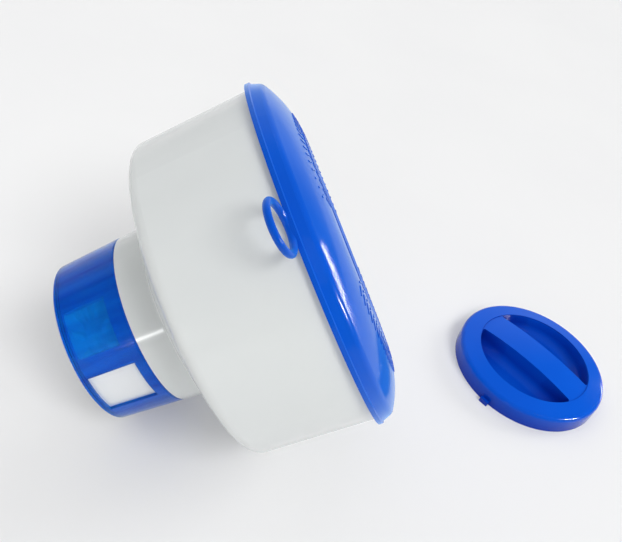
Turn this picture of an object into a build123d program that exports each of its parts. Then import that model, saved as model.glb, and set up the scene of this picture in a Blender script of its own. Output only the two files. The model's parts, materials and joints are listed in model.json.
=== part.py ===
from build123d import *
from math import asin, atan2, cos, degrees, radians, sin, tan
import os

# Floating chlorine dispenser for pools, opened for filling and laid on a flat floor.
# All lengths are in millimetres and all angles in degrees.
#
# Each piece of the float is drawn upright about its own axis: local Z = 0 is the lower edge of
# the blue cover, +Z runs out through the filler opening and -Z down to the dosing collar.
# The fill cap is drawn about its own axis with its open underside on Z = 0.
# Azimuths are measured from local +X, which is the uppermost side once the float is laid down.

# ---------------------------------------------------------------- driving dimensions
TABLET_DIAMETER = 76.2          # the standard three inch tablet that the chamber is made for
TABLET_SIDE_ROOM = 5.5          # between a tablet and the chamber wall
COVER_RADIUS = 98.0             # eight inch class float
COVER_HEIGHT = 18.8             # from the cover's lower edge to the dome's crown
FLOAT_DEPTH = 66.0              # cover edge down to the bowl's shoulder
OVERALL_DEPTH = 132.3           # cover edge down to the collar's end
WALL = 2.4                      # moulded wall of bowl, cover and cap
GAP = 0.3                       # clearance between pieces that move on each other
PAST = 1.0                      # how far a cutter runs past the face that it opens

# ---------------------------------------------------------------- tablet canister
CHAMBER_RADIUS = TABLET_DIAMETER / 2 + TABLET_SIDE_ROOM
CANISTER_WALL = 2.7
CANISTER_RADIUS = CHAMBER_RADIUS + CANISTER_WALL
CANISTER_TOP = -2.0
FLANGE_RADIUS = 50.5
FLANGE_THICKNESS = 2.4
O_RING_RADIUS = 0.75            # cross-section radius of the canister's upper seal
O_RING_GROOVE = 2.0
O_RING_Z = -6.0
SOCKET_FIT = 0.1                # the canister slips into the cover's sleeve and the bowl

# ---------------------------------------------------------------- float bowl
BOWL_RIM_RADIUS = 94.9
BOWL_RIM_TOP = 4.6              # the rim stands up inside the cover's skirt
SHOULDER_RADIUS = 90.4
SHOULDER_ROUND = 7.0
UNDERSIDE_Z = -78.0             # flat landing round the neck, where the canister's flange seats
UNDERSIDE_FLAT_RADIUS = 55.0
UNDERSIDE_ROUND = 12.0          # where the landing turns up into the cone
NECK_RADIUS = 48.2              # sleeve that leads the canister out, flush with the collar
NECK_ROOT_RADIUS = 49.4
NECK_ROUND = 3.0
NECK_BEAD = 0.35                # height of the fine raised ring round the neck's root
NECK_BEAD_RADIUS = 51.6
GASKET_THICKNESS = 1.4

# ---------------------------------------------------------------- dosing collar
COLLAR_TOP = -96.2
COLLAR_WALL = 1.7
COLLAR_TAPER = 0.076            # radius lost per millimetre of length
COLLAR_LIP = 1.7                # inward lip at the end, trapped by the base grate
COLLAR_EDGE_ROUND = 0.9
LIP_Z = -129.4                  # end of the canister tube, which the lip runs against
WINDOW_COUNT = 2
COLLAR_WINDOW_ANGLE = 31.5
COLLAR_WINDOW_BOTTOM = -128.8
COLLAR_WINDOW_TOP = -101.9
FEED_WINDOW_ANGLE = 33.0
FEED_WINDOW_BOTTOM = -128.2
FEED_WINDOW_TOP = -105.0
FEED_WINDOW_AZIMUTH = 36.5
DOSE_TURN = 45.5                # from shut to fully open
STOP_LUG_ANGLE = 6.0
STOP_LUG_WALL = 1.4
STOP_LUG_DEPTH = 3.0
STOP_LUG_AZIMUTH = 215.0

# ---------------------------------------------------------------- base grate
GRATE_THICKNESS = 1.8
GRATE_RADIUS = 43.0
SPIGOT_WALL = 2.0
SPIGOT_HEIGHT = 3.5
GRATE_SLOT_COUNT = 12
GRATE_SLOT_WIDTH = 4.5
GRATE_SLOT_INNER = 12.0
GRATE_SLOT_OUTER = 35.0
GRATE_CENTRE_HOLE = 5.0

# ---------------------------------------------------------------- fill cap
CAP_RADIUS = 54.8
CAP_EDGE_HEIGHT = 12.5
CAP_CROWN_HEIGHT = 18.8
CAP_EDGE_ROUND = 3.4
POCKET_RADIUS = 41.5
POCKET_FLOOR = 2.6
POCKET_FLOOR_ROUND = 7.0        # from the pockets' walls into their floors
POCKET_CORNER_ROUND = 2.5
POCKET_DRAFT = 5.0
BAR_WIDTH = 23.5                # grip bar left standing between the two finger pockets
BAR_SINK = 0.5                  # the bar's top lies this much under the cap's crown
CAP_LUG_REACH = 3.0
CAP_LUG_WIDTH = 6.5
CAP_LUG_HEIGHT = 3.4
CAP_SEAL_INNER = 46.5
CAP_SEAL_OUTER = 51.2
CAP_SEAL_THICKNESS = 1.8
CAP_SEAL_Z = 0.6
CAP_SHELF_INNER = 45.0          # internal shelf that carries the flat seal
CAP_SHELF_THICKNESS = 2.0
BAR_HEADING = -59.4             # heading of the grip bar on the floor, from +X

# ---------------------------------------------------------------- cover
SKIRT_WALL = 2.8
LIP_HEIGHT = 2.2                # thin lip along the cover's lower edge
LIP_STEP = 1.0
BAND_TOP_RADIUS = 94.9
BAND_TOP = 8.4
BAND_ROUND = 5.0
CROWN_RADIUS = 60.0             # the dome is highest here and dips a little to the brim
BRIM_HEIGHT = COVER_HEIGHT - 1.2
LUG_ROOM = 0.7                  # round the cap and its lugs in the cover's socket
WELL_RADIUS = CAP_RADIUS + LUG_ROOM
WELL_FLOOR = COVER_HEIGHT - CAP_EDGE_HEIGHT
LUG_CHANNEL_RADIUS = CAP_RADIUS + CAP_LUG_REACH + LUG_ROOM
LUG_CHANNEL_HEIGHT = CAP_LUG_HEIGHT + LUG_ROOM
BAYONET_TURN = 35.0
SEALING_BEAD = 1.2              # width of the raised ring that presses into the cap's seal
THROAT_RADIUS = CHAMBER_RADIUS + 0.2
SOCKET_WALL = 2.4
SOCKET_DEPTH = -14.0            # lower end of the sleeve that grips the canister's top
EYE_RADIUS = 13.8               # outer radius of the tether eye
EYE_WIRE = 3.5
EYE_AZIMUTH = 36.8
EYE_Z = -1.1
EYE_DROOP = 10.0                # the eye hangs below the plane of the cover's edge
RELIEF_HEIGHT = 0.35            # raised wave pattern on the dome
RELIEF_ROWS = (65.5, 72.5)
RELIEF_SECTORS = (-45.0, 135.0)
RELIEF_SPAN = 150.0
RELIEF_PITCH = 5.0
RELIEF_BAR_LENGTH = 6.0
RELIEF_BAR_WIDTH = 1.1
RELIEF_BAR_LEAN = 30.0

# ---------------------------------------------------------------- lying on the floor
CAP_AHEAD = 197.8               # cap's axis in front of the cover's centre, along the floor
CAP_ASIDE = 7.6


def turned(points, rounds=None):
    """Solid of revolution about Z from a closed (radius, z) outline.

    rounds maps the number of a point to the radius of the round on that corner.
    """
    outline = make_face(Polyline(*points, close=True))
    for number, radius in (rounds or {}).items():
        corner = Vector(*points[number])
        nearest = min(outline.vertices(), key=lambda vertex: (Vector(*vertex) - corner).length)
        outline = fillet(nearest, radius)
    return revolve(Plane.XZ * outline, Axis.Z)


def ring(inner, outer, low, high):
    """Plain ring with a rectangular section."""
    return turned([(inner, low), (outer, low), (outer, high), (inner, high)])


def sector(azimuth, angle, outer, low, high):
    """Wedge from the axis out to a radius, centred on an azimuth."""
    edges = [azimuth - angle / 2, azimuth + angle / 2]
    reach = outer / cos(radians(angle / 2))
    corners = [(0, 0)] + [(reach * cos(radians(a)), reach * sin(radians(a))) for a in edges]
    wedge = make_face(Polyline(*corners, close=True))
    return Pos(0, 0, low) * extrude(wedge, high - low) & ring(0, outer, low, high)


def collar_radius(z):
    """Outer radius of the tapered collar at a height."""
    return CANISTER_RADIUS + GAP + COLLAR_WALL + COLLAR_TAPER * min(0, z - COLLAR_TOP)


def neck_radius(z):
    """Outer radius of the canister's neck at a height, a clearance inside the collar."""
    return collar_radius(z) - COLLAR_WALL - GAP


def windows(azimuth, angle, low, high):
    """Cutters for the ring of windows, one per equal pitch."""
    pitch = 360.0 / WINDOW_COUNT
    reach = COVER_RADIUS
    return [sector(azimuth + pitch * i, angle, reach, low, high) for i in range(WINDOW_COUNT)]


def float_bowl():
    """White bowl: tapered drum, rounded shoulder, shallow cone and the sleeve of the neck."""
    inner_rim = BOWL_RIM_RADIUS - WALL
    sleeve_inner = CANISTER_RADIUS + SOCKET_FIT
    sleeve_end = COLLAR_TOP + GAP
    points = [
        (BOWL_RIM_RADIUS, BOWL_RIM_TOP),
        (inner_rim, BOWL_RIM_TOP),
        (SHOULDER_RADIUS - WALL, -FLOAT_DEPTH + WALL / 2),
        (UNDERSIDE_FLAT_RADIUS, UNDERSIDE_Z + WALL),
        (sleeve_inner, UNDERSIDE_Z + WALL),
        (sleeve_inner, sleeve_end),
        (NECK_RADIUS, sleeve_end),
        (NECK_ROOT_RADIUS, UNDERSIDE_Z),
        (UNDERSIDE_FLAT_RADIUS, UNDERSIDE_Z),
        (SHOULDER_RADIUS, -FLOAT_DEPTH),
    ]
    rounds = {2: SHOULDER_ROUND - WALL, 7: NECK_ROUND, 8: UNDERSIDE_ROUND, 9: SHOULDER_ROUND}
    bowl = turned(points, rounds)
    bowl += Pos(0, 0, UNDERSIDE_Z) * Torus(NECK_BEAD_RADIUS, NECK_BEAD)
    # Stop lug on the sleeve's end, which runs in the collar's notch.
    lug = sector(STOP_LUG_AZIMUTH, STOP_LUG_ANGLE, sleeve_inner + STOP_LUG_WALL,
                 COLLAR_TOP - STOP_LUG_DEPTH, sleeve_end)
    return bowl + (lug - Pos(0, 0, COLLAR_TOP) * Cylinder(sleeve_inner, 4 * STOP_LUG_DEPTH))


def cover_gasket():
    """Flat ring between the bowl's rim and the inside of the cover."""
    inner = BOWL_RIM_RADIUS - WALL
    return ring(inner, BOWL_RIM_RADIUS, BOWL_RIM_TOP, BOWL_RIM_TOP + GASKET_THICKNESS)


def dome_height(radius):
    """Height of the dome's outer surface: an arc that runs level at the crown."""
    run = BAND_TOP_RADIUS - CROWN_RADIUS
    rise = COVER_HEIGHT - BAND_TOP
    arc = (run ** 2 + rise ** 2) / (2 * rise)
    beyond = max(0.0, radius - CROWN_RADIUS)
    return COVER_HEIGHT - arc + (arc ** 2 - beyond ** 2) ** 0.5


def dome_outline(lift):
    """Outline from the brim over the dome to the band's top, raised by a lift."""
    middle = (BAND_TOP_RADIUS + CROWN_RADIUS) / 2
    brim = (WELL_RADIUS, BRIM_HEIGHT + lift)
    crown = (CROWN_RADIUS, COVER_HEIGHT + lift)
    half_way = (middle, dome_height(middle) + lift)
    band_top = (BAND_TOP_RADIUS, BAND_TOP + lift)
    return [Line(brim, crown), ThreePointArc(crown, half_way, band_top)]


def cover_shell():
    """Domed skin with its band, skirt and lip, hollow below, as one turned solid."""
    skirt_inner = COVER_RADIUS - SKIRT_WALL
    lip = LIP_HEIGHT
    outer = dome_outline(0) + [
        Polyline(
            (BAND_TOP_RADIUS, BAND_TOP),
            (COVER_RADIUS - LIP_STEP, lip + LIP_STEP / 2),
            (COVER_RADIUS, lip),
            (COVER_RADIUS, 0),
            (skirt_inner, 0),
            (skirt_inner, BOWL_RIM_TOP + GASKET_THICKNESS),
            (BOWL_RIM_RADIUS - 2 * WALL, BOWL_RIM_TOP + GASKET_THICKNESS),
        )
    ]
    roof = COVER_HEIGHT - WALL
    under = Polyline(
        (BOWL_RIM_RADIUS - 2 * WALL, BOWL_RIM_TOP + GASKET_THICKNESS),
        (BOWL_RIM_RADIUS - 3 * WALL, BAND_TOP),
        (CROWN_RADIUS + 4 * WALL, roof - WALL / 2),
        (CROWN_RADIUS, roof),
        (WELL_RADIUS, roof),
        (WELL_RADIUS, BRIM_HEIGHT),
    )
    outline = make_face(outer + [under])
    band_corner = min(
        outline.vertices(),
        key=lambda vertex: (Vector(*vertex) - Vector(BAND_TOP_RADIUS, BAND_TOP)).length,
    )
    return revolve(Plane.XZ * fillet(band_corner, BAND_ROUND), Axis.Z)


def filler_socket():
    """Well for the cap, with its floor, throat and the sleeve that grips the canister."""
    channel_top = WELL_FLOOR + LUG_CHANNEL_HEIGHT
    well_outer = LUG_CHANNEL_RADIUS + WALL
    sleeve_inner = CANISTER_RADIUS + SOCKET_FIT
    well = turned([
        (WELL_RADIUS, BRIM_HEIGHT),
        (WELL_RADIUS, channel_top),
        (LUG_CHANNEL_RADIUS, channel_top),
        (LUG_CHANNEL_RADIUS, WELL_FLOOR),
        (THROAT_RADIUS, WELL_FLOOR),
        (THROAT_RADIUS, CANISTER_TOP),
        (sleeve_inner, CANISTER_TOP),
        (sleeve_inner, SOCKET_DEPTH),
        (sleeve_inner + SOCKET_WALL, SOCKET_DEPTH),
        (sleeve_inner + SOCKET_WALL, WELL_FLOOR - WALL),
        (well_outer, WELL_FLOOR - WALL),
        (well_outer, COVER_HEIGHT - WALL / 2),
    ])
    bead_inner = (CAP_SEAL_INNER + CAP_SEAL_OUTER - SEALING_BEAD) / 2
    bead_top = WELL_FLOOR + CAP_SEAL_Z
    sealing_bead = ring(bead_inner, bead_inner + SEALING_BEAD, WELL_FLOOR - WALL / 2, bead_top)
    entry_angle = degrees((CAP_LUG_WIDTH + 2 * LUG_ROOM) / CAP_RADIUS)
    slot_foot = channel_top - LUG_ROOM
    slots = [
        sector(BAYONET_TURN + side, entry_angle, LUG_CHANNEL_RADIUS, slot_foot, COVER_HEIGHT + PAST)
        for side in (90, 270)
    ]
    return well + sealing_bead, slots


def tether_eye():
    """Round eye for a tether, drooping from the cover's edge."""
    wire_radius = EYE_WIRE / 2
    eye = Torus(EYE_RADIUS - wire_radius, wire_radius)
    outward = Pos(COVER_RADIUS, 0, EYE_Z) * Rot(0, EYE_DROOP, 0) * Pos(EYE_RADIUS - EYE_WIRE, 0, 0)
    return Rot(0, 0, EYE_AZIMUTH) * outward * eye


def relief_bars():
    """Short leaning bars in rows round the dome, cut to stand a little proud of it."""
    bar = Sketch() + SlotOverall(RELIEF_BAR_LENGTH, RELIEF_BAR_WIDTH)
    bars = Sketch()
    for sector_azimuth in RELIEF_SECTORS:
        for row, radius in enumerate(RELIEF_ROWS):
            step = degrees(RELIEF_PITCH / radius)
            count = int(RELIEF_SPAN / step)
            lean = RELIEF_BAR_LEAN if row % 2 else -RELIEF_BAR_LEAN
            for i in range(count):
                azimuth = sector_azimuth + (i - (count - 1) / 2) * step
                bars += Rot(0, 0, azimuth) * Pos(radius, 0) * Rot(0, 0, lean) * bar
    raised = make_face(dome_outline(RELIEF_HEIGHT) + [
        Polyline(
            (BAND_TOP_RADIUS, BAND_TOP + RELIEF_HEIGHT),
            (BAND_TOP_RADIUS, BAND_TOP - WALL / 2),
            (CROWN_RADIUS + 4 * WALL, COVER_HEIGHT - WALL),
            (WELL_RADIUS, COVER_HEIGHT - WALL),
            (WELL_RADIUS, BRIM_HEIGHT + RELIEF_HEIGHT),
        )
    ])
    return extrude(bars, COVER_HEIGHT + RELIEF_HEIGHT) & revolve(Plane.XZ * raised, Axis.Z)


def top_cover():
    """Blue cover: domed skin, filler socket with bayonet slots, tether eye and wave relief."""
    socket, slots = filler_socket()
    inside = Cylinder(COVER_RADIUS - SKIRT_WALL, 4 * EYE_WIRE)
    eye = tether_eye() - inside
    cover = cover_shell() + socket + relief_bars() + eye
    for slot in slots:
        cover -= slot
    return cover


def tablet_canister():
    """White tube that holds the tablets: chamber, flange, tapered end and feed windows."""
    flange_bottom = UNDERSIDE_Z + WALL + GASKET_THICKNESS
    flange_top = flange_bottom + FLANGE_THICKNESS
    tube_end = neck_radius(LIP_Z)
    tube = turned([
        (CHAMBER_RADIUS, CANISTER_TOP),
        (CANISTER_RADIUS, CANISTER_TOP),
        (CANISTER_RADIUS, flange_top),
        (FLANGE_RADIUS, flange_top),
        (FLANGE_RADIUS, flange_bottom),
        (CANISTER_RADIUS, flange_bottom),
        (CANISTER_RADIUS, COLLAR_TOP),
        (tube_end, LIP_Z),
        (tube_end - CANISTER_WALL, LIP_Z),
        (CHAMBER_RADIUS, COLLAR_TOP),
    ])
    groove_floor = CANISTER_RADIUS + SOCKET_FIT - 2 * O_RING_RADIUS
    half_groove = O_RING_GROOVE / 2
    tube -= ring(groove_floor, CANISTER_RADIUS + PAST, O_RING_Z - half_groove, O_RING_Z + half_groove)
    for cutter in windows(FEED_WINDOW_AZIMUTH, FEED_WINDOW_ANGLE, FEED_WINDOW_BOTTOM, FEED_WINDOW_TOP):
        tube -= cutter
    return tube


def canister_top_seal():
    """O-ring in the canister's groove, inside the cover's sleeve."""
    return Pos(0, 0, O_RING_Z) * Torus(CANISTER_RADIUS + SOCKET_FIT - O_RING_RADIUS, O_RING_RADIUS)


def canister_neck_seal():
    """Flat ring between the canister's flange and the bowl's floor."""
    floor = UNDERSIDE_Z + WALL
    return ring(CANISTER_RADIUS, FLANGE_RADIUS, floor, floor + GASKET_THICKNESS)


def base_grate():
    """Slotted floor of the chamber, plugged into the canister's end."""
    top = LIP_Z - COLLAR_LIP - 2 * GAP
    bottom = top - GRATE_THICKNESS
    spigot_outer = neck_radius(LIP_Z) - CANISTER_WALL
    grate = ring(0, GRATE_RADIUS, bottom, top)
    grate += ring(spigot_outer - SPIGOT_WALL, spigot_outer, bottom, top + SPIGOT_HEIGHT)
    grate -= Pos(0, 0, bottom) * Cylinder(GRATE_CENTRE_HOLE, 2 * (GRATE_THICKNESS + PAST))
    slot_length = GRATE_SLOT_OUTER - GRATE_SLOT_INNER
    slot_centre = (GRATE_SLOT_OUTER + GRATE_SLOT_INNER) / 2
    slot = extrude(SlotOverall(slot_length, GRATE_SLOT_WIDTH), GRATE_THICKNESS + PAST, both=True)
    for i in range(GRATE_SLOT_COUNT):
        azimuth = 360.0 / GRATE_SLOT_COUNT * i
        grate -= Rot(0, 0, azimuth) * Pos(slot_centre, 0, bottom) * slot
    return grate


def dosing_collar():
    """Blue see-through collar that turns on the neck to open or shut the feed windows."""
    end = -OVERALL_DEPTH
    bore_end = neck_radius(LIP_Z) + GAP
    lip_inner = neck_radius(LIP_Z) - CANISTER_WALL + GAP
    lip_top = LIP_Z - GAP
    lip_bottom = lip_top - COLLAR_LIP
    collar = turned([
        (collar_radius(COLLAR_TOP) - COLLAR_WALL, COLLAR_TOP),
        (collar_radius(COLLAR_TOP), COLLAR_TOP),
        (collar_radius(end), end),
        (GRATE_RADIUS + GAP, end),
        (GRATE_RADIUS + GAP, lip_bottom),
        (lip_inner, lip_bottom),
        (lip_inner, lip_top),
        (bore_end, lip_top),
    ], {1: COLLAR_EDGE_ROUND, 2: COLLAR_EDGE_ROUND})
    shut = FEED_WINDOW_AZIMUTH + DOSE_TURN
    lip_guard = ring(0, bore_end, COLLAR_WINDOW_BOTTOM - PAST, lip_top)
    for cutter in windows(shut, COLLAR_WINDOW_ANGLE, COLLAR_WINDOW_BOTTOM, COLLAR_WINDOW_TOP):
        collar -= cutter - lip_guard
    # The stop lug rests against one end of this notch when shut and the other when open.
    lug_room = degrees(2 * GAP / CANISTER_RADIUS)
    notch_angle = DOSE_TURN + STOP_LUG_ANGLE + lug_room
    notch_base = COLLAR_TOP - STOP_LUG_DEPTH - GAP
    notch_azimuth = STOP_LUG_AZIMUTH + DOSE_TURN / 2
    return collar - sector(notch_azimuth, notch_angle, COVER_RADIUS, notch_base, COLLAR_TOP + PAST)


def finger_pocket(side, grow):
    """One D-shaped pocket beside the grip bar, grown outwards by a wall.

    Its walls are drafted, and large rounds lead from them into its floor.
    """
    top = CAP_CROWN_HEIGHT + PAST
    floor = POCKET_FLOOR - grow
    outer = POCKET_RADIUS + grow
    edge = BAR_WIDTH / 2 - grow
    narrowing = (top - floor) * tan(radians(POCKET_DRAFT))
    floor_round = POCKET_FLOOR_ROUND + grow
    dish = turned([(0, floor), (outer - narrowing, floor), (outer, top), (0, top)], {1: floor_round})
    foot = Vector(side * (edge + narrowing), floor)
    section = make_face(Polyline(foot, (side * outer, floor), (side * outer, top), (side * edge, top),
                                 close=True))
    section = fillet(min(section.vertices(), key=lambda vertex: (Vector(*vertex) - foot).length),
                     floor_round)
    trough = extrude(Plane.XZ * section, outer, both=True)
    half = Pos(side * (edge + COVER_RADIUS), 0) * Rectangle(2 * COVER_RADIUS, 4 * COVER_RADIUS)
    outline = Circle(outer) & half
    corners = Pos(0, 0, floor) * extrude(fillet(outline.vertices(), POCKET_CORNER_ROUND), top - floor)
    return dish & trough & corners


def fill_cap():
    """Blue cap: crowned disc with two finger pockets, a grip bar and two bayonet lugs."""
    edge = CAP_RADIUS
    crown = CAP_CROWN_HEIGHT
    crown_arc = (edge ** 2 + (crown - CAP_EDGE_HEIGHT) ** 2) / (2 * (crown - CAP_EDGE_HEIGHT))
    half_way = (edge / 2, crown - crown_arc + (crown_arc ** 2 - (edge / 2) ** 2) ** 0.5)
    outline = make_face([
        Polyline((0, crown), (0, 0), (edge, 0), (edge, CAP_EDGE_HEIGHT)),
        ThreePointArc((edge, CAP_EDGE_HEIGHT), half_way, (0, crown)),
    ])
    rim_corner = min(
        outline.vertices(),
        key=lambda vertex: (Vector(*vertex) - Vector(edge, CAP_EDGE_HEIGHT)).length,
    )
    crowned = revolve(Plane.XZ * fillet(rim_corner, CAP_EDGE_ROUND), Axis.Z)
    inner = edge - WALL
    ring_roof = CAP_EDGE_HEIGHT - WALL / 2
    bar_roof = CAP_EDGE_HEIGHT + WALL / 2
    bar_core = Box(BAR_WIDTH - 2 * WALL, 2 * (POCKET_RADIUS - WALL), bar_roof)
    hollow = ring(0, inner, -PAST, ring_roof) + Pos(0, 0, bar_roof / 2) * bar_core
    for side in (-1, 1):
        hollow -= finger_pocket(side, WALL)
    cap = crowned - hollow
    for side in (-1, 1):
        cap -= finger_pocket(side, 0)
    sunk_crown = Pos(0, 0, -BAR_SINK) * crowned
    cap -= ring(0, POCKET_RADIUS, CAP_EDGE_HEIGHT - BAR_SINK, crown) - sunk_crown
    shelf_low = CAP_SEAL_Z + CAP_SEAL_THICKNESS
    cap += ring(CAP_SHELF_INNER, edge - WALL / 2, shelf_low, shelf_low + CAP_SHELF_THICKNESS)
    lug_length = CAP_LUG_REACH + WALL / 2
    lug_centre = edge + CAP_LUG_REACH - lug_length / 2
    lug = Box(lug_length, CAP_LUG_WIDTH, CAP_LUG_HEIGHT)
    for side in (-1, 1):
        cap += Pos(side * lug_centre, 0, CAP_LUG_HEIGHT / 2) * lug
    return cap


def cap_seal():
    """Flat ring under the cap's shelf."""
    return ring(CAP_SEAL_INNER, CAP_SEAL_OUTER, CAP_SEAL_Z, CAP_SEAL_Z + CAP_SEAL_THICKNESS)


def round_centre(corner, one, other, radius):
    """Centre of the round on an outline's corner, between its two neighbouring points."""
    corner = Vector(*corner)
    to_one = (Vector(*one) - corner).normalized()
    to_other = (Vector(*other) - corner).normalized()
    half_angle = radians(to_one.get_angle(to_other) / 2)
    return corner + (to_one + to_other).normalized() * (radius / sin(half_angle))


def laid_down():
    """Place of the float on the floor, leaning on its rounded shoulder and the collar's edge.

    In the upright plane through the axis, the floor is the line that touches both rounds.
    """
    shoulder = round_centre(
        (SHOULDER_RADIUS, -FLOAT_DEPTH),
        (BOWL_RIM_RADIUS, BOWL_RIM_TOP),
        (UNDERSIDE_FLAT_RADIUS, UNDERSIDE_Z),
        SHOULDER_ROUND,
    )
    edge = round_centre(
        (collar_radius(-OVERALL_DEPTH), -OVERALL_DEPTH),
        (collar_radius(COLLAR_TOP), COLLAR_TOP),
        (GRATE_RADIUS, -OVERALL_DEPTH),
        COLLAR_EDGE_ROUND,
    )
    step = shoulder - edge
    tilt = atan2(step.X, step.Y) + asin((SHOULDER_ROUND - COLLAR_EDGE_ROUND) / step.length)
    height = SHOULDER_ROUND - shoulder.Y * sin(tilt) + shoulder.X * cos(tilt)
    outward = (cos(tilt), 0, sin(tilt))
    upper_side = (-sin(tilt), 0, cos(tilt))
    return Plane(origin=(0, 0, height), x_dir=upper_side, z_dir=outward).location


def assembly():
    """Every piece in its place on the floor, by name, with the whole centred on X."""
    floating = laid_down()
    lying = Pos(CAP_AHEAD, CAP_ASIDE, 0) * Rot(0, 0, BAR_HEADING - 90)
    placed = {
        "float_bowl": floating * float_bowl(),
        "top_cover": floating * top_cover(),
        "cover_gasket": floating * cover_gasket(),
        "tablet_canister": floating * tablet_canister(),
        "canister_top_seal": floating * canister_top_seal(),
        "canister_neck_seal": floating * canister_neck_seal(),
        "base_grate": floating * base_grate(),
        "dosing_collar": floating * dosing_collar(),
        "fill_cap": lying * fill_cap(),
        "cap_seal": lying * cap_seal(),
    }
    boxes = [piece.bounding_box() for piece in placed.values()]
    middle_x = (min(box.min.X for box in boxes) + max(box.max.X for box in boxes)) / 2
    middle_y = (min(box.min.Y for box in boxes) + max(box.max.Y for box in boxes)) / 2
    centred = Pos(-middle_x, -middle_y, 0)
    return {name: centred * piece for name, piece in placed.items()}, centred


def main():
    os.makedirs("parts", exist_ok=True)
    placed, _ = assembly()
    for name, piece in placed.items():
        piece.label = name
        export_step(piece, f"parts/{name}.step")


if __name__ == "__main__":
    main()
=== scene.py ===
import json
import math

import bpy
from mathutils import Matrix, Vector

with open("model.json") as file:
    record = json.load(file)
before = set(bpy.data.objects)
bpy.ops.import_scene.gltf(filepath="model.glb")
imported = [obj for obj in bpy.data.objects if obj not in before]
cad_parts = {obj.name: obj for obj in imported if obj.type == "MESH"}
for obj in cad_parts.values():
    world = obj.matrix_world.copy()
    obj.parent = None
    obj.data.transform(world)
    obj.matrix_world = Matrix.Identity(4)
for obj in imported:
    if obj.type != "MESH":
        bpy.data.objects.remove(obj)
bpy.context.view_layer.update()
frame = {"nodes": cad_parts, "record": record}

# Looks of the floating chlorine dispenser, in metres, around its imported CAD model.

# The collar turns about the float's own axis, which rises from +X by this angle, in radians.
COLLAR_JOINT = next(j for j in frame["record"]["behaviour"]["joints"] if j["name"] == "dose_turn")
FLOAT_LEAN = math.atan2(-COLLAR_JOINT["axis"][2], -COLLAR_JOINT["axis"][0])

# ---------------------------------------------------------------- camera
SENSOR_WIDTH = 36.0             # millimetres
CAMERA_LENS = 43.96             # millimetres
CAMERA_PLACE = Vector((-0.2005, -0.2951, 0.3709))
CAMERA_HEADING = 25.87          # degrees from +Y towards +X
CAMERA_DOWN = 39.8              # degrees below level
CAMERA_ROLL = 19.53             # degrees; an upright leans to the right in the picture
NEAREST_SEEN = 0.01
FARTHEST_SEEN = 50.0


def make_camera():
    """Hand-held camera over the float's dosing end, tipped to one side."""
    data = bpy.data.cameras.new("camera")
    data.lens = CAMERA_LENS
    data.sensor_width = SENSOR_WIDTH
    data.clip_start = NEAREST_SEEN
    data.clip_end = FARTHEST_SEEN
    camera = bpy.data.objects.new("camera", data)
    bpy.context.scene.collection.objects.link(camera)
    heading, down, roll = (math.radians(a) for a in (CAMERA_HEADING, CAMERA_DOWN, CAMERA_ROLL))
    turn = Matrix.Rotation(-heading, 4, "Z") @ Matrix.Rotation(math.pi / 2 - down, 4, "X")
    camera.matrix_world = Matrix.Translation(CAMERA_PLACE) @ turn @ Matrix.Rotation(roll, 4, "Z")
    bpy.context.scene.camera = camera


# ---------------------------------------------------------------- materials
# Colours are linear RGB. Where there are two, noise wanders between them.
WHITE_COLOURS = ((0.75, 0.775, 0.765), (0.73, 0.755, 0.75))
CANISTER_COLOURS = ((0.78, 0.80, 0.82), (0.76, 0.78, 0.80))
COVER_COLOURS = ((0.001, 0.085, 0.58), (0.001, 0.075, 0.54))
CAP_COLOURS = ((0.001, 0.095, 0.62), (0.001, 0.085, 0.58))
COLLAR_COLOURS = ((0.003, 0.30, 0.97), (0.002, 0.18, 0.80))
RUBBER_COLOURS = ((0.62, 0.63, 0.62), (0.52, 0.53, 0.53))
COVER_BLOOM = (0.10, 0.45, 1.0)
# Painted shade: the deep blue that the cap's finger pockets are darkened to.
CAP_PAINTED_SHADE = (0.001, 0.03, 0.36)
WHITE_SCATTER = 0.1
SCATTER_DEPTH = 0.003

# Scales are in patches of noise to the metre, and heights are in metres.
MOTTLE_SCALE = 14.0
GLOSS_SCALE = 25.0
GLOSS_SPREAD = (0.93, 1.1)      # lowest and highest share of the roughness
RIPPLE_SCALE = 120.0
RIPPLE_HEIGHT = 0.00004
SCRATCH_SCALE = 900.0
SCRATCH_STRETCH = (1.0, 16.0, 3.0)
SCRATCH_CUT = (0.62, 0.7)       # noise at which a scratch begins and is full
SCRATCH_HEIGHT = 0.000004
STREAK_SCALE = 170.0
STREAK_STRETCH = (14.0, 1.0, 1.0)
STREAK_HEIGHT = 0.00015
COLLAR_GLOSS_SCALE = 60.0
COLLAR_GLOSS_SPREAD = (0.8, 1.3)
COLLAR_IOR = 1.3
COLLAR_CLEARNESS = 0.8
RUBBER_MOTTLE_SCALE = 80.0
RUBBER_GLOSS_SCALE = 300.0
RUBBER_ROUGHNESS = (0.5, 0.75)
RUBBER_GRAIN_SCALE = 1500.0
RUBBER_GRAIN_HEIGHT = 0.00003
# Reach of the painted shade that darkens the cap's pockets.
PAINTED_SHADE_REACH = 0.02             # how far away a wall still counts as closing a hollow in
BLOOM_WEIGHT = 0.5
BLOOM_ROUGHNESS = 0.5


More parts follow.
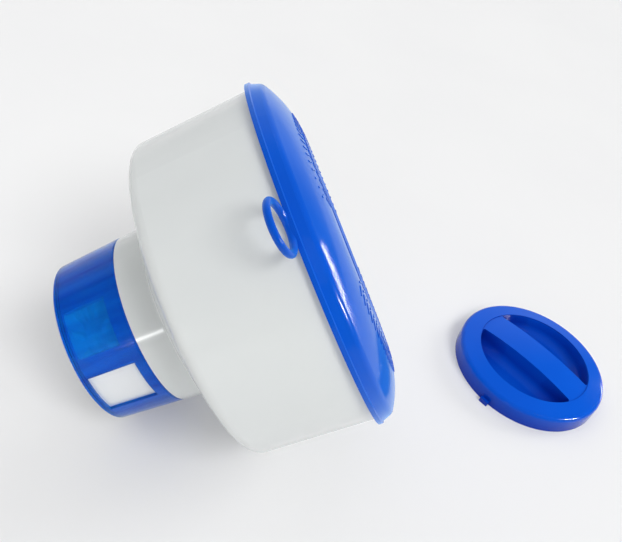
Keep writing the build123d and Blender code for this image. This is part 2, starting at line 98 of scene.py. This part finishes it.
class Nodes:
    """A material's node tree with short ways to add nodes."""

    def __init__(self, name):
        self.material = bpy.data.materials.new(name)
        self.material.use_nodes = True
        self.tree = self.material.node_tree
        self.shader = self.tree.nodes["Principled BSDF"]
        self.place = self.add("ShaderNodeTexCoord").outputs["Object"]

    def add(self, kind, **settings):
        """New node with its settings."""
        node = self.tree.nodes.new(kind)
        for key, value in settings.items():
            setattr(node, key, value)
        return node

    def link(self, source, target):
        self.tree.links.new(source, target)

    def noise(self, scale, detail, stretch=None, lean=0.0):
        """Noise, stretched by a factor along each axis, with X raised by an angle towards Z."""
        node = self.add("ShaderNodeTexNoise")
        node.inputs["Scale"].default_value = scale
        node.inputs["Detail"].default_value = detail
        source = self.place
        if stretch:
            mapping = self.add("ShaderNodeMapping", vector_type="TEXTURE")
            mapping.inputs["Rotation"].default_value = (0.0, -lean, 0.0)
            mapping.inputs["Scale"].default_value = stretch
            self.link(source, mapping.inputs["Vector"])
            source = mapping.outputs["Vector"]
        self.link(source, node.inputs["Vector"])
        return node.outputs["Fac"]

    def ranged(self, source, low, high, from_low=0.35, from_high=0.65):
        """Value that runs from low to high while the source runs between the other two."""
        node = self.add("ShaderNodeMapRange")
        node.inputs["From Min"].default_value = from_low
        node.inputs["From Max"].default_value = from_high
        node.inputs["To Min"].default_value = low
        node.inputs["To Max"].default_value = high
        self.link(source, node.inputs["Value"])
        return node.outputs["Result"]

    def blend(self, factor, first, second):
        """Colour between two others, each a tuple or another node's colour."""
        node = self.add("ShaderNodeMix", data_type="RGBA")
        self.link(factor, node.inputs["Factor"])
        for colour, socket in ((first, node.inputs["A"]), (second, node.inputs["B"])):
            if isinstance(colour, tuple):
                socket.default_value = (*colour, 1.0)
            else:
                self.link(colour, socket)
        return node.outputs["Result"]

    def openness(self, reach):
        """1 on an open face, and less where walls stand close around it."""
        node = self.add("ShaderNodeAmbientOcclusion", samples=8)
        node.inputs["Distance"].default_value = reach
        return node.outputs["AO"]

    def bump(self, source, height, under=None):
        """Surface raised by the source up to a height, over another bump if there is one."""
        node = self.add("ShaderNodeBump")
        node.inputs["Distance"].default_value = height
        self.link(source, node.inputs["Height"])
        if under:
            self.link(under, node.inputs["Normal"])
        return node.outputs["Normal"]

    def set(self, **values):
        """Uniform values of the shader, by socket name with _ for a space."""
        for key, value in values.items():
            self.shader.inputs[key.replace("_", " ")].default_value = value


def moulded_plastic(name, colours, roughness, gloss, scatter=0.0, painted_shade=None, bloom=None):
    """Glossy injection moulding: faint flow mottling, ripple in the gloss and hair scratches.

    The pocket colour argument gives painted shade: deep pockets darken to it where walls close in
    around them; bloom is the colour of the skin seen edge-on.
    """
    m = Nodes(name)
    colour = m.blend(m.ranged(m.noise(MOTTLE_SCALE, 4.0), 0, 1), *colours)
    if painted_shade:
        # Painted shade: the colour darkens towards the pocket colour where walls close in around a
        # face.
        colour = m.blend(m.ranged(m.openness(PAINTED_SHADE_REACH), 0, 1, 0.5, 1.0), painted_shade, colour)
    m.link(colour, m.shader.inputs["Base Color"])
    smoothest, dullest = (roughness * share for share in GLOSS_SPREAD)
    patches = m.ranged(m.noise(GLOSS_SCALE, 2.0), smoothest, dullest, 0.3, 0.7)
    m.link(patches, m.shader.inputs["Roughness"])
    ripple = m.bump(m.noise(RIPPLE_SCALE, 2.0), RIPPLE_HEIGHT)
    scratches = m.ranged(m.noise(SCRATCH_SCALE, 2.0, SCRATCH_STRETCH), 0, 1, *SCRATCH_CUT)
    m.link(m.bump(scratches, SCRATCH_HEIGHT, under=ripple), m.shader.inputs["Normal"])
    m.set(Specular_IOR_Level=gloss)
    if bloom:
        m.set(Sheen_Weight=BLOOM_WEIGHT, Sheen_Roughness=BLOOM_ROUGHNESS, Sheen_Tint=(*bloom, 1.0))
    if scatter:
        m.set(Subsurface_Weight=scatter, Subsurface_Scale=SCATTER_DEPTH)
        m.set(Subsurface_Radius=(1.0, 1.0, 1.0))
    return m.material


def see_through_plastic(name, colours, roughness):
    """Tinted collar plastic: mostly clear, partly milky, with flow streaks along the float's axis."""
    m = Nodes(name)
    streaks = m.noise(STREAK_SCALE, 3.0, STREAK_STRETCH, FLOAT_LEAN)
    m.link(m.blend(m.ranged(streaks, 0, 1, 0.4, 0.7), *colours), m.shader.inputs["Base Color"])
    smoothest, dullest = (roughness * share for share in COLLAR_GLOSS_SPREAD)
    patches = m.ranged(m.noise(COLLAR_GLOSS_SCALE, 4.0), smoothest, dullest)
    m.link(patches, m.shader.inputs["Roughness"])
    m.link(m.bump(streaks, STREAK_HEIGHT), m.shader.inputs["Normal"])
    m.set(IOR=COLLAR_IOR, Transmission_Weight=COLLAR_CLEARNESS)
    return m.material


def rubber(name, colours):
    """Pale matt elastomer of the seals, with a fine grain."""
    m = Nodes(name)
    colour = m.blend(m.ranged(m.noise(RUBBER_MOTTLE_SCALE, 4.0), 0, 1), *colours)
    m.link(colour, m.shader.inputs["Base Color"])
    patches = m.ranged(m.noise(RUBBER_GLOSS_SCALE, 3.0), *RUBBER_ROUGHNESS)
    m.link(patches, m.shader.inputs["Roughness"])
    grain = m.bump(m.noise(RUBBER_GRAIN_SCALE, 2.0), RUBBER_GRAIN_HEIGHT)
    m.link(grain, m.shader.inputs["Normal"])
    return m.material


def dress():
    """Gives every CAD node its finished material."""
    white = moulded_plastic("white_plastic", WHITE_COLOURS, 0.16, 0.5, scatter=WHITE_SCATTER)
    canister = moulded_plastic("canister_plastic", CANISTER_COLOURS, 0.2, 0.5, scatter=WHITE_SCATTER)
    cover = moulded_plastic("cover_plastic", COVER_COLOURS, 0.12, 0.15, bloom=COVER_BLOOM)
    # The cap gets painted shade in its pockets.
    cap = moulded_plastic("cap_plastic", CAP_COLOURS, 0.12, 0.2, painted_shade=CAP_PAINTED_SHADE)
    collar = see_through_plastic("collar_plastic", COLLAR_COLOURS, 0.16)
    seal = rubber("seal_rubber", RUBBER_COLOURS)
    finishes = {
        "float_bowl": white,
        "tablet_canister": canister,
        "base_grate": canister,
        "top_cover": cover,
        "fill_cap": cap,
        "dosing_collar": collar,
        "cover_gasket": seal,
        "canister_top_seal": seal,
        "canister_neck_seal": seal,
        "cap_seal": seal,
    }
    for name, node in frame["nodes"].items():
        node.data.materials.clear()
        node.data.materials.append(finishes[name])


# ---------------------------------------------------------------- stage and light
FLOOR_REACH = 8.0
FLOOR_COLOURS = ((0.60, 0.60, 0.60), (0.588, 0.588, 0.59))
FLOOR_MOTTLE_SCALE = 6.0
FLOOR_GLOW = 0.21

ROOM_COLOUR = (0.89, 0.90, 0.92)
ROOM_STRENGTH = 0.16
WALL_STRENGTH = 0.7
WALL_EDGE = (0.45, 0.7)         # share of +Y in a direction where the pale wall begins and is full

# Soft lights: name, direction that the light comes from, spread in degrees, strength.
SOFT_LIGHTS = (
    ("key", (0.22, -0.60, 0.77), 26, 1.50),
    ("above", (-0.15, 0.10, 1.0), 90, 1.12),
    ("right", (0.90, 0.15, 0.42), 24, 1.30),
    ("front", (-0.42, -0.82, 0.35), 40, 0.42),
)

# Lamps: name, place, point that it faces, direction of its longer side, size, power in watts.
# They make the streak on the cover, the streak on the cap's near edge and the glint on the neck.
LAMPS = (
    ("window", (1.30, 0.28, 0.285), (-0.08, -0.08, 0.16), (-0.23, 0.58, 0.78), (0.02, 0.55), 3.2),
    ("strip", (1.03, -0.75, 0.67), (0.15, -0.05, 0.01), (-0.73, -0.39, 0.56), (0.03, 0.40), 28.0),
    ("glint", (-0.78, -0.95, 0.20), (-0.15, -0.05, 0.08), (0, 0, 1), (0.03, 0.03), 0.45),
)


def make_floor():
    """Plain pale sheet under everything, lit a little from below as on a light table."""
    m = Nodes("floor_sheet")
    colour = m.blend(m.ranged(m.noise(FLOOR_MOTTLE_SCALE, 3.0), 0, 1), *FLOOR_COLOURS)
    m.link(colour, m.shader.inputs["Base Color"])
    m.set(Roughness=0.7, Specular_IOR_Level=0.2)
    m.set(Emission_Color=(1.0, 1.0, 1.0, 1.0), Emission_Strength=FLOOR_GLOW)
    mesh = bpy.data.meshes.new("floor")
    corners = [(x * FLOOR_REACH, y * FLOOR_REACH, 0) for x, y in ((-1, -1), (1, -1), (1, 1), (-1, 1))]
    mesh.from_pydata(corners, [], [(0, 1, 2, 3)])
    floor = bpy.data.objects.new("floor", mesh)
    floor.data.materials.append(m.material)
    bpy.context.scene.collection.objects.link(floor)


def make_soft_light(name, towards, spread, strength):
    """Even light over the whole floor, coming from a direction; glossy pieces don't mirror it."""
    data = bpy.data.lights.new(name, "SUN")
    data.energy = strength
    data.angle = math.radians(spread)
    light = bpy.data.objects.new(name, data)
    light.rotation_mode = "QUATERNION"
    light.rotation_quaternion = Vector(towards).to_track_quat("Z", "Y")
    light.visible_glossy = False
    bpy.context.scene.collection.objects.link(light)


def make_lamp(name, place, aim, along, size, power):
    """Small rectangular lamp, seen only as the highlight that glossy pieces mirror."""
    data = bpy.data.lights.new(name, "AREA")
    data.shape = "RECTANGLE"
    data.size, data.size_y = size
    data.energy = power
    light = bpy.data.objects.new(name, data)
    back = (Vector(place) - Vector(aim)).normalized()
    side = Vector(along).cross(back).normalized()
    turn = Matrix((side, back.cross(side), back)).transposed().to_4x4()
    light.matrix_world = Matrix.Translation(place) @ turn
    light.visible_diffuse = False
    bpy.context.scene.collection.objects.link(light)


def make_surroundings():
    """Dim room with one pale wall behind the object, as the glossy pieces mirror it.

    The camera itself sees it as pale as the floor all round.
    """
    world = bpy.data.worlds.new("world")
    bpy.context.scene.world = world
    world.use_nodes = True
    nodes = world.node_tree.nodes
    links = world.node_tree.links
    direction = nodes.new("ShaderNodeSeparateXYZ")
    links.new(nodes.new("ShaderNodeTexCoord").outputs["Generated"], direction.inputs[0])
    mirrored = nodes.new("ShaderNodeMapRange")
    mirrored.inputs["From Min"].default_value = WALL_EDGE[0]
    mirrored.inputs["From Max"].default_value = WALL_EDGE[1]
    mirrored.inputs["To Min"].default_value = ROOM_STRENGTH
    mirrored.inputs["To Max"].default_value = WALL_STRENGTH
    links.new(direction.outputs["Y"], mirrored.inputs["Value"])
    strength = nodes.new("ShaderNodeMath")
    strength.operation = "MAXIMUM"
    links.new(nodes.new("ShaderNodeLightPath").outputs["Is Camera Ray"], strength.inputs[0])
    links.new(mirrored.outputs["Result"], strength.inputs[1])
    background = nodes["Background"]
    background.inputs["Color"].default_value = (*ROOM_COLOUR, 1.0)
    links.new(strength.outputs["Value"], background.inputs["Strength"])


def make_lights():
    """Soft lights from different sides, and small lamps for the highlights."""
    for settings in SOFT_LIGHTS:
        make_soft_light(*settings)
    for settings in LAMPS:
        make_lamp(*settings)
    bpy.context.scene.view_settings.view_transform = "Standard"


make_camera()
dress()
make_floor()
make_surroundings()
make_lights()
